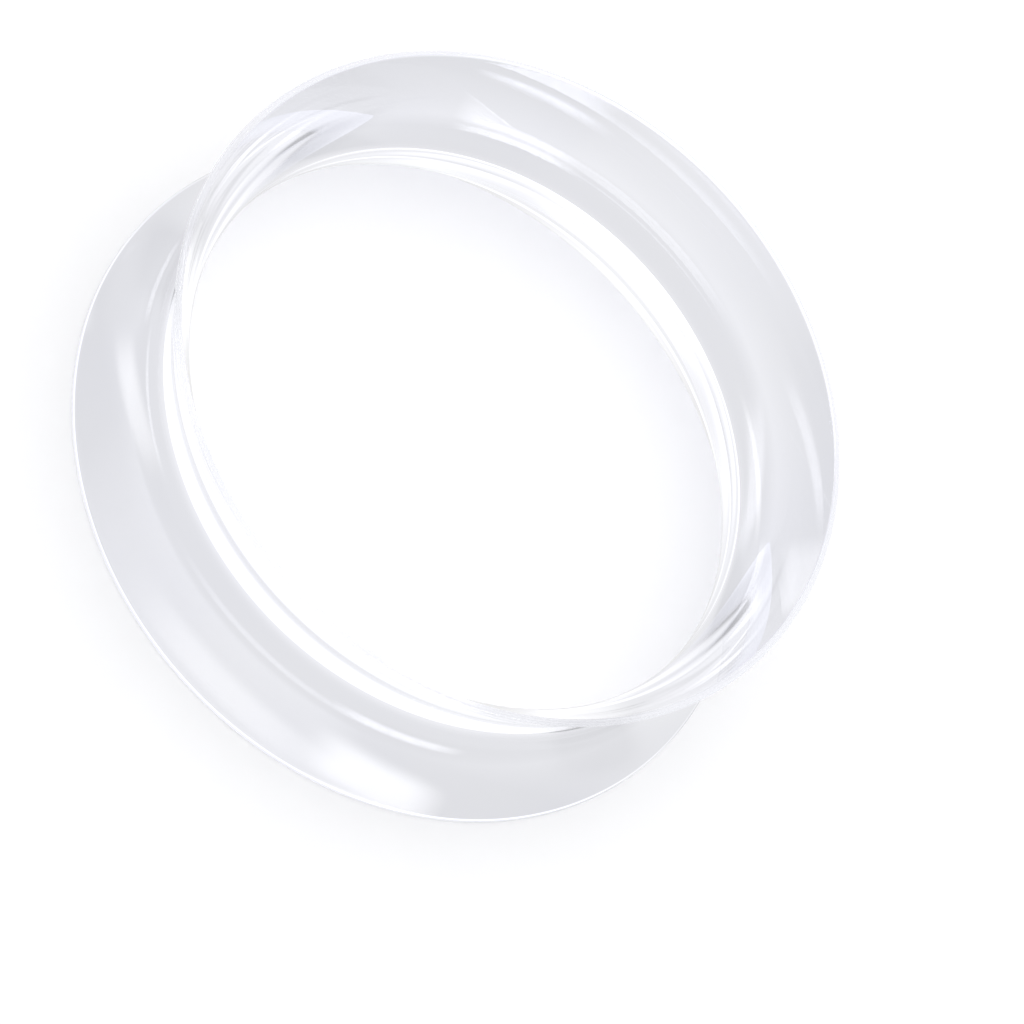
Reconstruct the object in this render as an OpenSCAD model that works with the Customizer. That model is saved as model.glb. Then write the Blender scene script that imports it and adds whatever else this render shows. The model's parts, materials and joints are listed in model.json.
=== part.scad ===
// Clear silicone ear tunnel: a thin hoop with a waist and a flare at each rim, lying on one rim.
// Millimetres, +Z up along the axis. The origin is in the middle of the hoop, on the surface it rests on.

/* [Size] */
// Diameter across the waist on the ear side
waist_d = 38; // [22:0.5:60]
// Height of each flare above the waist, measured outward from the axis
flare_h = 2.6; // [2.5:0.05:2.8]
// Length along the axis, over both rims
tunnel_len = 14; // [13.7:0.1:15]

/* [Wall] */
// Thickness of the wall at the waist
waist_wall = 0.84; // [0.7:0.01:0.95]
// Thickness of the rounded lip at each rim
lip_t = 0.46; // [0.42:0.01:0.55]

/* [Shape] */
// Slope of the straight stretch inside each flare, in degrees from the axis
flare_angle = 32; // [31.5:0.5:34]
// Slope of the ear side beside the crease where the flares meet, in degrees from the axis
crease_angle = 13; // [10:1:16]
// Length of the short straight land in the middle of the bore
land_len = 0.5; // [0.2:0.1:0.8]

/* [Hidden] */
// Steps in which the curves are drawn, in degrees: the long shallow ones, and the small round of the lip
curve_step = 2.5;
lip_step = 15;
$fn = 180;

waist_r = waist_d / 2;
bore_r = waist_r - waist_wall;
land_z = land_len / 2;

// The full-round lip: a circle whose far side gives the rim and the length
lip_r = lip_t / 2;
lip_c = [waist_r + flare_h - lip_r, tunnel_len / 2 - lip_r];

// Bore side, upper half: the land, an arc that starts on it, then a straight flank to the lip
flank_end = lip_c + lip_r * [-cos(flare_angle), sin(flare_angle)];
flank_rise = (flank_end[1] - land_z) * tan(flare_angle) - (flank_end[0] - bore_r);
bore_arc_r = flank_rise * cos(flare_angle) / (1 - cos(flare_angle));
bore_arc_c = [bore_r + bore_arc_r, land_z];

// Ear side, upper half: one arc that leaves the crease at its slope and touches the lip's circle
crease_pt = [waist_r, 0];
crease_dir = [cos(crease_angle), -sin(crease_angle)];
lip_to_crease = crease_pt - lip_c;
ear_arc_r = (lip_to_crease * lip_to_crease - pow(lip_r, 2)) / (2 * (lip_r - lip_to_crease * crease_dir));
ear_arc_c = crease_pt + ear_arc_r * crease_dir;

// Direction from the lip's centre to where the ear side touches it
lip_to_ear = ear_arc_c - lip_c;
touch_angle = atan2(lip_to_ear[1], lip_to_ear[0]);

// Points of an arc from one angle to another, the first one left out when skip is 1
function arc(c, r, from, to, step, skip = 0) =
    let (n = ceil(abs(to - from) / step))
    [for (i = [skip : n]) let (a = from + (to - from) * i / n) c + r * [cos(a), sin(a)]];

// Upper half of the section's outline: up the bore side, over the lip, down the ear side to the crease
upper_half = concat(
    arc(bore_arc_c, bore_arc_r, 180, 180 - flare_angle, curve_step),
    arc(lip_c, lip_r, 180 - flare_angle, touch_angle, lip_step),
    arc(ear_arc_c, ear_arc_r, 180 + touch_angle, 180 - crease_angle, curve_step, 1)
);

// The same points mirrored below the middle plane and in reverse order, without the shared crease
lower_half = [for (i = [len(upper_half) - 2 : -1 : 0]) [upper_half[i][0], -upper_half[i][1]]];

// The whole tunnel, one moulded piece
module tunnel() {
    color([0.90, 0.91, 0.94, 0.5])
        translate([0, 0, tunnel_len / 2])
            rotate_extrude() polygon(concat(upper_half, lower_half));
}

tunnel();
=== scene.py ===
import json
import math

import bpy
import numpy as np
from mathutils import Matrix, Vector


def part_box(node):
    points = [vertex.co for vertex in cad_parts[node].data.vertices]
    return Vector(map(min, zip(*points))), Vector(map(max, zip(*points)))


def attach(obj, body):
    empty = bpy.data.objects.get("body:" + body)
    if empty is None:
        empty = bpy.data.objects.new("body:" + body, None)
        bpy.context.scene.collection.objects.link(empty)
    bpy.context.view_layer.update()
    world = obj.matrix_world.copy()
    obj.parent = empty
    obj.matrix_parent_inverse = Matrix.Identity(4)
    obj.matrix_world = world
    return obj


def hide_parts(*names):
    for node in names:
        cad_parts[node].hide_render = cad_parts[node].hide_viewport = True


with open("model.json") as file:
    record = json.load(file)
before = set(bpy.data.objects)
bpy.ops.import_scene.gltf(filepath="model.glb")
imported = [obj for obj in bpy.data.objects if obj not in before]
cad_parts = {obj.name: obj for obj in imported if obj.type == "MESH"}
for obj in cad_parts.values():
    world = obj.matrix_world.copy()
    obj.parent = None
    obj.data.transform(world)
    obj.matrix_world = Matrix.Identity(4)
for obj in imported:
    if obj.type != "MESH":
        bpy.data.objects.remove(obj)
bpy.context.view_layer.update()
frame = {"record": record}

# sizes that the solid part already settles, in metres
lowCorner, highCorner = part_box("tunnel")
mounts = {mount["name"]: mount["dims"] for mount in frame["record"]["mounts"]}
rimRadius = highCorner.x
tunnelLength = highCorner.z - lowCorner.z
middleHeight = (highCorner.z + lowCorner.z) / 2
waistRadius = mounts["ear_seat"]["r_mm"] / 1000
boreRadius = mounts["bore"]["r_mm"] / 1000
print("frame loaded, rims", round(rimRadius * 2000, 2), "mm across")

# the tunnel: one moulded hoop of clear silicone
tunnelForm = {
    "lipThickness": 0.00046,  # full-round lip at each rim
    "landLength": 0.0005,  # short straight land in the middle of the bore
    "flareAngle": 32.0,  # slope of the straight stretch inside each flare, degrees from the axis
    "creaseAngle": 13.0,  # slope of the ear side beside the crease, degrees from the axis
    "boreSteps": 26,  # points along each curve of half the section
    "lipSteps": 22,
    "earSteps": 28,
    "turnSteps": 480,  # sections round the axis
}


# a round stretch: centre + radius * (cos a, sin a), with a going evenly between two angles in degrees
def arcPoints(centre, radius, fromAngle, toAngle, steps):
    a = np.radians(np.linspace(fromAngle, toAngle, steps + 1))
    return centre + radius * np.column_stack([np.cos(a), np.sin(a)])


# upper half of the section, as distance from the axis and height above the middle: an arc that leaves
# the land of the bore, a straight flank, the round lip, and one arc down the ear side to the crease
def halfSection(form):
    lipRadius = form["lipThickness"] / 2
    lipCentre = np.array([rimRadius - lipRadius, tunnelLength / 2 - lipRadius])
    slope = math.radians(form["flareAngle"])
    flankEnd = lipCentre + lipRadius * np.array([-math.cos(slope), math.sin(slope)])
    landEnd = form["landLength"] / 2

    # bore: the arc's radius is the one whose end, at the flare's slope, lies on the flank's line
    flankRise = (flankEnd[1] - landEnd) * math.tan(slope) - (flankEnd[0] - boreRadius)
    boreArc = flankRise * math.cos(slope) / (1 - math.cos(slope))
    boreCentre = np.array([boreRadius + boreArc, landEnd])

    # ear side: the circle through the crease, at the crease's slope, that touches the lip's circle
    crease = np.array([waistRadius, 0.0])
    tilt = math.radians(form["creaseAngle"])
    towards = np.array([math.cos(tilt), -math.sin(tilt)])
    reach = crease - lipCentre
    earArc = (reach @ reach - lipRadius**2) / (2 * (lipRadius - reach @ towards))
    earCentre = crease + earArc * towards
    touch = math.degrees(math.atan2(*(earCentre - lipCentre)[::-1]))

    boreCurve = arcPoints(boreCentre, boreArc, 180, 180 - form["flareAngle"], form["boreSteps"])
    lipCurve = arcPoints(lipCentre, lipRadius, 180 - form["flareAngle"], touch, form["lipSteps"])
    earCurve = arcPoints(earCentre, earArc, 180 + touch, 180 - form["creaseAngle"], form["earSteps"])
    return np.vstack([boreCurve, lipCurve, earCurve[1:]])


# the section turned round the axis: point (i, j) = (r_i cos t_j, r_i sin t_j, z_i), closed both ways
def turnedSurface(outline, turns, height):
    t = np.linspace(0, 2 * math.pi, turns, endpoint=False)
    r, z = outline[:, :1], outline[:, 1:] + height
    grid = np.stack([r * np.cos(t), r * np.sin(t), np.broadcast_to(z, (len(outline), turns))], axis=-1)
    i, j = np.meshgrid(np.arange(len(outline)), np.arange(turns), indexing="ij")
    iNext, jNext = (i + 1) % len(outline), (j + 1) % turns
    faces = np.stack([i * turns + j, iNext * turns + j, iNext * turns + jNext, i * turns + jNext], axis=-1)
    return grid.reshape(-1, 3), faces.reshape(-1, 4)


# a smooth-shaded mesh whose edges between vertices of one ring (numbers first to last) stay sharp
def meshPiece(name, vertices, faces, sharpFirst, sharpLast):
    mesh = bpy.data.meshes.new(name)
    mesh.from_pydata(vertices.tolist(), [], faces.tolist())
    mesh.update()
    mesh.polygons.foreach_set("use_smooth", np.ones(len(faces), dtype=bool))
    ends = np.empty(len(mesh.edges) * 2, dtype=np.int32)
    mesh.edges.foreach_get("vertices", ends)
    onCrease = ((ends >= sharpFirst) & (ends <= sharpLast)).reshape(-1, 2).all(axis=1)
    sharp = mesh.attributes.new("sharp_edge", "BOOLEAN", "EDGE")
    sharp.data.foreach_set("value", onCrease)
    piece = bpy.data.objects.new(name, mesh)
    bpy.context.scene.collection.objects.link(piece)
    return piece


def buildTunnel(form):
    upper = halfSection(form)
    lower = upper[-2::-1] * (1, -1)  # mirrored below the middle, back to the bore, sharing the crease
    outline = np.vstack([upper, lower])
    vertices, faces = turnedSurface(outline, form["turnSteps"], middleHeight)
    creaseStart = (len(upper) - 1) * form["turnSteps"]
    piece = meshPiece("silicone_tunnel", vertices, faces, creaseStart, creaseStart + form["turnSteps"] - 1)
    print("tunnel built,", len(faces) * 2, "triangles")
    return piece


# clear silicone: cool and clear, with faint ripples from the mould and spots that handling has dulled
siliconeLook = {
    "tint": (0.92, 0.927, 0.985),  # each wall that light crosses colours it this much
    "tintThin": (0.94, 0.946, 0.99),
    "driftSize": 0.012,  # how far apart the two tints lie, in metres
    "driftDetail": 2,
    "clarity": 1.0,
    "ior": 1.41,  # silicone rubber
    "smoothest": 0.0,  # roughness between the dull spots and in them
    "dullest": 0.01,
    "dullSize": 0.002,
    "dullDetail": 5,
    "rippleSize": 0.006,
    "rippleDetail": 1,
    "rippleDepth": 0.000004,
    "shadowTint": (0.93, 0.93, 0.945),  # what its shadow on the table lets through
}

# where nearly all values of a noise texture lie
noiseLow, noiseHigh = 0.3, 0.7


# a noise texture on Object coordinates with blotches about as large as size, spread between low and high
def noiseBetween(tree, place, size, detail, low, high):
    field = tree.nodes.new("ShaderNodeTexNoise")
    field.inputs["Scale"].default_value = 1 / size
    field.inputs["Detail"].default_value = detail
    tree.links.new(place.outputs["Object"], field.inputs["Vector"])
    spread = tree.nodes.new("ShaderNodeMapRange")
    spread.inputs["From Min"].default_value = noiseLow
    spread.inputs["From Max"].default_value = noiseHigh
    spread.inputs["To Min"].default_value = low
    spread.inputs["To Max"].default_value = high
    tree.links.new(field.outputs["Fac"], spread.inputs["Value"])
    return spread.outputs["Result"]


# gives the shader a colour that drifts between two; a Mix node's sockets 6 and 7 are its colours
def driftingColour(tree, shader, factor, first, second):
    mixed = tree.nodes.new("ShaderNodeMix")
    mixed.data_type = "RGBA"
    mixed.inputs[6].default_value = (*first, 1)
    mixed.inputs[7].default_value = (*second, 1)
    tree.links.new(factor, mixed.inputs["Factor"])
    tree.links.new(mixed.outputs[2], shader.inputs["Base Color"])


def clearSilicone(look):
    material = bpy.data.materials.new("clearSilicone")
    material.use_nodes = True
    tree = material.node_tree
    shader = tree.nodes["Principled BSDF"]
    output = tree.nodes["Material Output"]
    shader.inputs["Transmission Weight"].default_value = look["clarity"]
    shader.inputs["IOR"].default_value = look["ior"]
    place = tree.nodes.new("ShaderNodeTexCoord")

    # the colour drifts between two cool tints
    drift = noiseBetween(tree, place, look["driftSize"], look["driftDetail"], 0, 1)
    driftingColour(tree, shader, drift, look["tint"], look["tintThin"])

    # handling leaves small spots a touch duller
    span = (look["smoothest"], look["dullest"])
    dull = noiseBetween(tree, place, look["dullSize"], look["dullDetail"], *span)
    tree.links.new(dull, shader.inputs["Roughness"])

    # shallow ripples bend the highlights
    waves = tree.nodes.new("ShaderNodeTexNoise")
    waves.inputs["Scale"].default_value = 1 / look["rippleSize"]
    waves.inputs["Detail"].default_value = look["rippleDetail"]
    tree.links.new(place.outputs["Object"], waves.inputs["Vector"])
    ripple = tree.nodes.new("ShaderNodeBump")
    ripple.inputs["Distance"].default_value = look["rippleDepth"]
    tree.links.new(waves.outputs["Fac"], ripple.inputs["Height"])
    tree.links.new(ripple.outputs["Normal"], shader.inputs["Normal"])

    # light shines through it on to the table, so its shadow is faint
    paths = tree.nodes.new("ShaderNodeLightPath")
    through = tree.nodes.new("ShaderNodeBsdfTransparent")
    through.inputs["Color"].default_value = (*look["shadowTint"], 1)
    either = tree.nodes.new("ShaderNodeMixShader")
    tree.links.new(paths.outputs["Is Shadow Ray"], either.inputs["Fac"])
    tree.links.new(shader.outputs["BSDF"], either.inputs[1])
    tree.links.new(through.outputs["BSDF"], either.inputs[2])
    tree.links.new(either.outputs["Shader"], output.inputs["Surface"])
    return material


tunnel = buildTunnel(tunnelForm)
tunnel.data.materials.append(clearSilicone(siliconeLook))
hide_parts("tunnel")
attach(tunnel, "root")

# the stage: a pale table inside a tent of soft light, whose panels the silicone sees on every side,
# above and below
stageLook = {
    "tableSide": 4.0,  # metres
    "tablePale": (0.965, 0.965, 0.968),
    "tablePaler": (0.985, 0.985, 0.988),
    "grainSize": 0.03,
    "grainDetail": 3,
    "tableRoughness": 0.6,
    "ambient": 0.96,  # what the tent glows by itself, as radiance
    "darkest": 0.5,
    "edgePower": 4.0,  # the larger, the sharper the panels' edges
}

# each panel: azimuth and elevation of its middle and its half sizes, in degrees as seen from the tunnel,
# and what it adds to the tent's glow. Flags and shades take light away
softPanels = {
    "frontWindow": {"azimuth": 260, "elevation": 19, "halfWidth": 62, "halfHeight": 6.5, "glow": 1.6},
    "rightFlag": {"azimuth": 345, "elevation": 12, "halfWidth": 33, "halfHeight": 26, "glow": -2.4},
    "leftFlag": {"azimuth": 175, "elevation": -1, "halfWidth": 50, "halfHeight": 15, "glow": -1.1},
    "floorShade": {"azimuth": 90, "elevation": -52, "halfWidth": 30, "halfHeight": 7, "glow": -0.15},
    "backGlow": {"azimuth": 85, "elevation": 27, "halfWidth": 33, "halfHeight": 19, "glow": 0.4},
    "rightStrip": {"azimuth": 323, "elevation": -5, "halfWidth": 17, "halfHeight": 6.5, "glow": 9.5},
    "frontStrip": {"azimuth": 278, "elevation": -1, "halfWidth": 30, "halfHeight": 4.5, "glow": 3.5},
    "frontLeftStrip": {"azimuth": 196, "elevation": -22, "halfWidth": 18, "halfHeight": 2.8, "glow": 3.5},
    "leftStrip": {"azimuth": 162, "elevation": -8, "halfWidth": 11, "halfHeight": 5, "glow": 4},
    "leftShade": {"azimuth": 151, "elevation": -35, "halfWidth": 12, "halfHeight": 10, "glow": -0.65},
    "rightShade": {"azimuth": 24, "elevation": -33, "halfWidth": 13, "halfHeight": 10, "glow": -0.65},
    "floorGlowNear": {"azimuth": 90, "elevation": -39, "halfWidth": 35, "halfHeight": 5, "glow": 0.35},
    "floorGlowFar": {"azimuth": 90, "elevation": -70, "halfWidth": 60, "halfHeight": 7, "glow": 0.3},
    "floorGlowUnder": {"azimuth": 0, "elevation": -90, "halfWidth": 360, "halfHeight": 12, "glow": 0.35},
    "overhead": {"azimuth": 0, "elevation": 90, "halfWidth": 360, "halfHeight": 35, "glow": 0.35},
}


def buildTable(look):
    half = look["tableSide"] / 2
    mesh = bpy.data.meshes.new("table")
    corners = [(-half, -half, 0), (half, -half, 0), (half, half, 0), (-half, half, 0)]
    mesh.from_pydata(corners, [], [(0, 1, 2, 3)])
    table = bpy.data.objects.new("table", mesh)
    bpy.context.scene.collection.objects.link(table)
    # the silicone doesn't see the table, so that the lower half of the tent lights it
    table.visible_glossy = False
    table.visible_transmission = False
    table.visible_diffuse = False
    material = bpy.data.materials.new("paleTable")
    material.use_nodes = True
    tree = material.node_tree
    shader = tree.nodes["Principled BSDF"]
    shader.inputs["Roughness"].default_value = look["tableRoughness"]
    place = tree.nodes.new("ShaderNodeTexCoord")
    grain = noiseBetween(tree, place, look["grainSize"], look["grainDetail"], 0, 1)
    driftingColour(tree, shader, grain, look["tablePale"], look["tablePaler"])
    mesh.materials.append(material)
    return table


# links a Math node and returns what it puts out; each of a and b is a socket or a number
def maths(tree, operation, a, b=0.0):
    node = tree.nodes.new("ShaderNodeMath")
    node.operation = operation
    for socket, value in zip(node.inputs, (a, b)):
        if isinstance(value, bpy.types.NodeSocket):
            tree.links.new(value, socket)
        else:
            socket.default_value = value
    return node.outputs[0]


# one panel's glow in a direction of the tent: glow * exp(-(u^p + v^p)), where u and v are how far the
# direction's azimuth and elevation are from the panel's middle, in half sizes, and p is the edges' power
def panelGroup(edgePower):
    group = bpy.data.node_groups.new("softPanel", "ShaderNodeTree")
    group.interface.new_socket("Direction", in_out="INPUT", socket_type="NodeSocketVector")
    for name in ("Azimuth", "Elevation", "Half Width", "Half Height", "Glow"):
        group.interface.new_socket(name, in_out="INPUT", socket_type="NodeSocketFloat")
    group.interface.new_socket("Radiance", in_out="OUTPUT", socket_type="NodeSocketFloat")
    given = group.nodes.new("NodeGroupInput")
    result = group.nodes.new("NodeGroupOutput")
    turn = group.nodes.new("ShaderNodeVectorRotate")
    turn.rotation_type = "Z_AXIS"
    turn.invert = True
    group.links.new(given.outputs["Direction"], turn.inputs["Vector"])
    group.links.new(maths(group, "RADIANS", given.outputs["Azimuth"]), turn.inputs["Angle"])
    parts = group.nodes.new("ShaderNodeSeparateXYZ")
    group.links.new(turn.outputs["Vector"], parts.inputs["Vector"])
    across = maths(group, "DEGREES", maths(group, "ARCTAN2", parts.outputs["Y"], parts.outputs["X"]))
    above = maths(group, "DEGREES", maths(group, "ARCSINE", parts.outputs["Z"]))
    u = maths(group, "DIVIDE", maths(group, "ABSOLUTE", across), given.outputs["Half Width"])
    off = maths(group, "SUBTRACT", above, given.outputs["Elevation"])
    v = maths(group, "DIVIDE", maths(group, "ABSOLUTE", off), given.outputs["Half Height"])
    power = maths(group, "ADD", maths(group, "POWER", u, edgePower), maths(group, "POWER", v, edgePower))
    fall = maths(group, "EXPONENT", maths(group, "MULTIPLY", power, -1.0))
    group.links.new(maths(group, "MULTIPLY", fall, given.outputs["Glow"]), result.inputs["Radiance"])
    return group


def buildStudio(look, panels):
    world = bpy.data.worlds.new("studio")
    world.use_nodes = True
    bpy.context.scene.world = world
    tree = world.node_tree
    direction = tree.nodes.new("ShaderNodeTexCoord")
    group = panelGroup(look["edgePower"])
    total = look["ambient"]
    for panel in panels.values():
        node = tree.nodes.new("ShaderNodeGroup")
        node.node_tree = group
        tree.links.new(direction.outputs["Generated"], node.inputs["Direction"])
        node.inputs["Azimuth"].default_value = panel["azimuth"]
        node.inputs["Elevation"].default_value = panel["elevation"]
        node.inputs["Half Width"].default_value = panel["halfWidth"]
        node.inputs["Half Height"].default_value = panel["halfHeight"]
        node.inputs["Glow"].default_value = panel["glow"]
        total = maths(tree, "ADD", node.outputs["Radiance"], total)
    total = maths(tree, "MAXIMUM", total, look["darkest"])
    tree.links.new(total, tree.nodes["Background"].inputs["Strength"])
    tree.nodes["Background"].inputs["Color"].default_value = (1, 1, 1, 1)


buildTable(stageLook)
buildStudio(stageLook, softPanels)
print("stage set with", len(softPanels), "soft panels")

# the photograph's view: a long lens, so its lines of sight are taken as parallel
photoView = {
    "axisToSight": 37.1,  # degrees between the tunnel's axis and the line of sight
    "axisTurn": 42.88,  # degrees from the picture's right to the axis, anticlockwise
    "centrePixel": (455.58, 436.52),  # the tunnel's middle, from the picture's top left
    "waistPixels": 652.0,  # the waist's width in the picture
    "pictureSide": 1024,
    "distance": 0.4,  # from the tunnel's middle, in metres
}


def buildCamera(view):
    pixel = 2 * waistRadius / view["waistPixels"]
    tilt = math.radians(view["axisToSight"])
    turn = math.radians(view["axisTurn"])
    back = Vector((0, -math.sin(tilt), math.cos(tilt)))  # from the tunnel towards the camera
    alongAxis = Vector((0, math.cos(tilt), math.sin(tilt)))  # the axis as the picture shows it
    acrossAxis = Vector((1, 0, 0))
    right = alongAxis * math.cos(turn) + acrossAxis * math.sin(turn)
    up = alongAxis * math.sin(turn) - acrossAxis * math.cos(turn)
    offRight = (view["pictureSide"] / 2 - view["centrePixel"][0]) * pixel
    offUp = (view["centrePixel"][1] - view["pictureSide"] / 2) * pixel
    place = Vector((0, 0, middleHeight)) + right * offRight + up * offUp + back * view["distance"]
    data = bpy.data.cameras.new("camera")
    data.type = "ORTHO"
    data.ortho_scale = view["pictureSide"] * pixel
    camera = bpy.data.objects.new("camera", data)
    camera.matrix_world = Matrix.Translation(place) @ Matrix((right, up, back)).transposed().to_4x4()
    bpy.context.scene.collection.objects.link(camera)
    bpy.context.scene.camera = camera


buildCamera(photoView)
bpy.context.scene.view_settings.view_transform = "Standard"

# light is caught in the wall and turned many times before it leaves, so its paths are long
lightBounces = 64
cycles = bpy.context.scene.cycles
cycles.max_bounces = lightBounces
cycles.glossy_bounces = lightBounces
cycles.transmission_bounces = lightBounces
print("camera placed")
